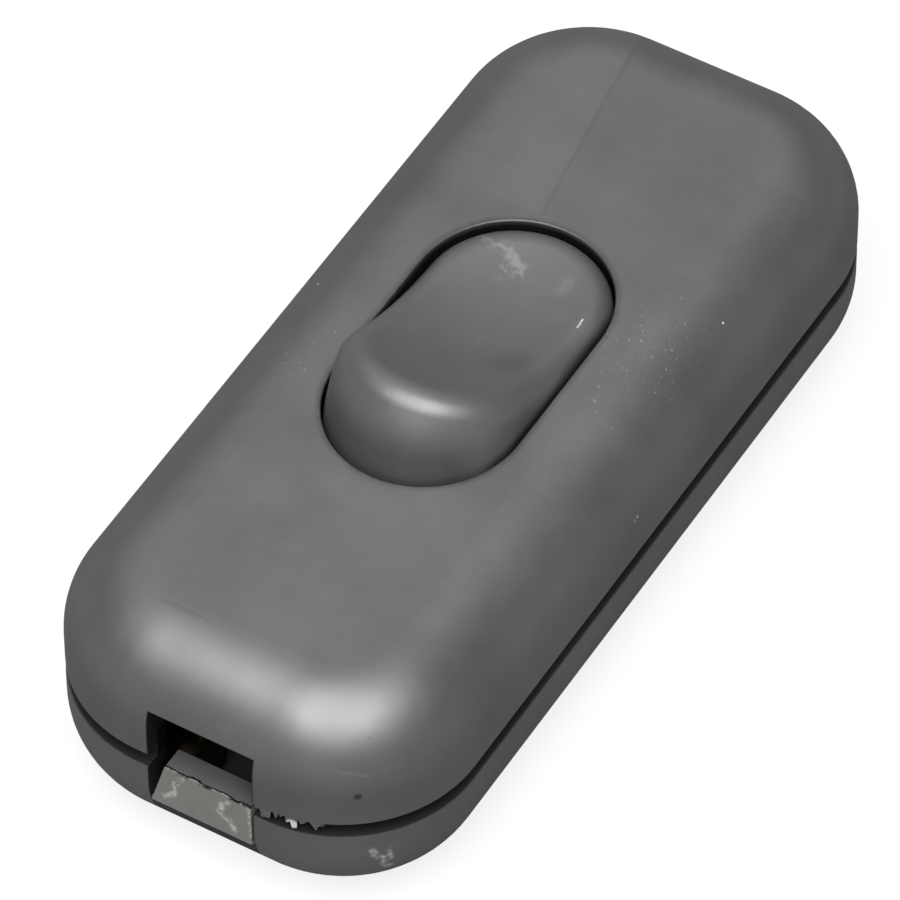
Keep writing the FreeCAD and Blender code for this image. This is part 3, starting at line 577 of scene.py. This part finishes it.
def torn_material():
    """Rough torn plastic with a pale tip and a few pale specks."""
    graph = Graph("torn_plastic")
    specks = graph.specks(spacing=0.7, radius=0.14, share=0.25)
    pale = graph.add(graph.near(*PALE_TIP), graph.times(specks, 0.4))
    color = graph.mix(graph.math("MULTIPLY", pale, 0.9, clamp=True), TORN_COLOR, BRIGHT)
    graph.bump(graph.noise(size=0.2), strength=0.1)
    return graph.finish(color, 0.55)


def torn_flakes():
    """Makes ragged flakes that hang from the upper shell's edge beside the near entry."""
    chance = random.Random(FLAKE_SEED)
    vertices, faces = [], []
    for aside, width, drop in FLAKES:
        first = len(vertices)
        for depth in (FLAKE_FRONT, chance.uniform(*FLAKE_BACK)):
            tips = ((chance.uniform(0.6, 1.0), chance.uniform(0.4, 0.9)), (chance.uniform(0.1, 0.5), 1.0))
            for across, fall in ((0.0, 0.0), (1.0, 0.0), *tips):
                side = aside + width * across
                turned = max(side - CORNER_CENTRE[1], 0.0)
                shell_face = CORNER_CENTRE[0] + (CORNER_RADIUS ** 2 - turned ** 2) ** 0.5
                height = UPPER_EDGE - drop * fall
                vertices.append((-(shell_face - depth) * MM, -side * MM, height * MM))
        faces += [[first + corner for corner in face] for face in FLAKE_FACES]
    mesh = bpy.data.meshes.new("torn_flakes")
    mesh.from_pydata(vertices, [], faces)
    mesh.materials.append(torn_material())
    flakes = bpy.data.objects.new("torn_flakes", mesh)
    bpy.context.collection.objects.link(flakes)
    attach(flakes, "housing")


torn_flakes()

# Springs in the rocker's tilted tubes, each a copy of its solid spring that the rocker carries
for side, across in (("left", TUBE_ASIDE), ("right", -TUBE_ASIDE)):
    solid = nodes["plunger_spring_" + side]
    coil = bpy.data.objects.new("coil_spring_" + side, solid.data.copy())
    coil.matrix_world = solid.matrix_world
    bpy.context.collection.objects.link(coil)
    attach(coil, "rocker")
    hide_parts("plunger_spring_" + side)
    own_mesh(coil)

# Camera, matched to the photo
CAMERA_PLACE = (-299.214, -178.373, 404.521)
CAMERA_TURN = (0.813008, 0.307058, -0.172423, -0.463684)
CAMERA_NEAREST = 10.0
SENSOR_WIDTH = 36.0
FOCAL_LENGTH = 359.94
camera_data = bpy.data.cameras.new("camera")
camera_data.sensor_width = SENSOR_WIDTH
camera_data.lens = FOCAL_LENGTH
camera_data.clip_start = CAMERA_NEAREST * MM
camera = bpy.data.objects.new("camera", camera_data)
camera.location = Vector(CAMERA_PLACE) * MM
camera.rotation_mode = "QUATERNION"
camera.rotation_quaternion = Quaternion(CAMERA_TURN)
bpy.context.collection.objects.link(camera)
bpy.context.scene.camera = camera

# Soft lights, as a direction, a distance, a width, a power in watts and a color
LIGHTS = {
    "key_softbox": ((-0.400, -0.158, 0.903), 600.0, 700.0, 6.50, (1.0, 0.99, 0.99)),
    "top_softbox": ((0.52, 0.40, 0.75), 700.0, 850.0, 0.75, (1.0, 0.98, 0.94)),
}
AIM_HEIGHT = 8.0


def soft_light(name, direction, distance, width, power, color):
    """Sets a round soft light that faces the object from a direction."""
    data = bpy.data.lights.new(name, "AREA")
    data.shape = "DISK"
    data.size = width * MM
    data.energy = power
    data.color = color
    light = bpy.data.objects.new(name, data)
    away = Vector(direction).normalized()
    light.location = (away * distance + Vector((0.0, 0.0, AIM_HEIGHT))) * MM
    light.rotation_mode = "QUATERNION"
    light.rotation_quaternion = away.to_track_quat("Z", "Y")
    bpy.context.collection.objects.link(light)


for name, settings in LIGHTS.items():
    soft_light(name, *settings)

WORLD_COLOR = (0.0450, 0.0456, 0.0468)
world = bpy.data.worlds.new("studio")
world.use_nodes = True
world.node_tree.nodes["Background"].inputs["Color"].default_value = (*WORLD_COLOR, 1.0)
bpy.context.scene.world = world

# Pale floor just below the object, white to the camera and in far reflections, with a faint shadow
FLOOR_REACH = 3000.0
FLOOR_LEVEL = -0.05
FLOOR_COLOR = (0.2100, 0.2142, 0.2205)
FLOOR_GLOW = 0.80
GLOW_DISTANCE = (60.0, 350.0)


def floor_material():
    """Dull floor that glows white to the camera and, away from the object, in reflections."""
    graph = Graph("floor")
    rays = graph.tree.nodes.new("ShaderNodeLightPath")
    far = graph.ramp(graph.hypot(graph.x, graph.y), *GLOW_DISTANCE)
    mirrored = graph.most(rays.outputs["Is Glossy Ray"], rays.outputs["Is Transmission Ray"])
    white = graph.most(rays.outputs["Is Camera Ray"], graph.times(mirrored, far))
    graph.shader.inputs["Base Color"].default_value = (*FLOOR_COLOR, 1.0)
    graph.shader.inputs["Roughness"].default_value = 0.9
    graph.shader.inputs["Specular IOR Level"].default_value = 0.0
    graph.shader.inputs["Emission Color"].default_value = (1.0, 1.0, 1.0, 1.0)
    graph.feed(graph.times(white, FLOOR_GLOW), graph.shader.inputs["Emission Strength"])
    return graph.material


floor_corners = [
    (x * FLOOR_REACH * MM, y * FLOOR_REACH * MM, FLOOR_LEVEL * MM)
    for x, y in ((-1, -1), (1, -1), (1, 1), (-1, 1))]
floor_mesh = bpy.data.meshes.new("floor")
floor_mesh.from_pydata(floor_corners, [], [(0, 1, 2, 3)])
floor_mesh.materials.append(floor_material())
floor = bpy.data.objects.new("floor", floor_mesh)
bpy.context.collection.objects.link(floor)

bpy.context.scene.view_settings.view_transform = "Standard"
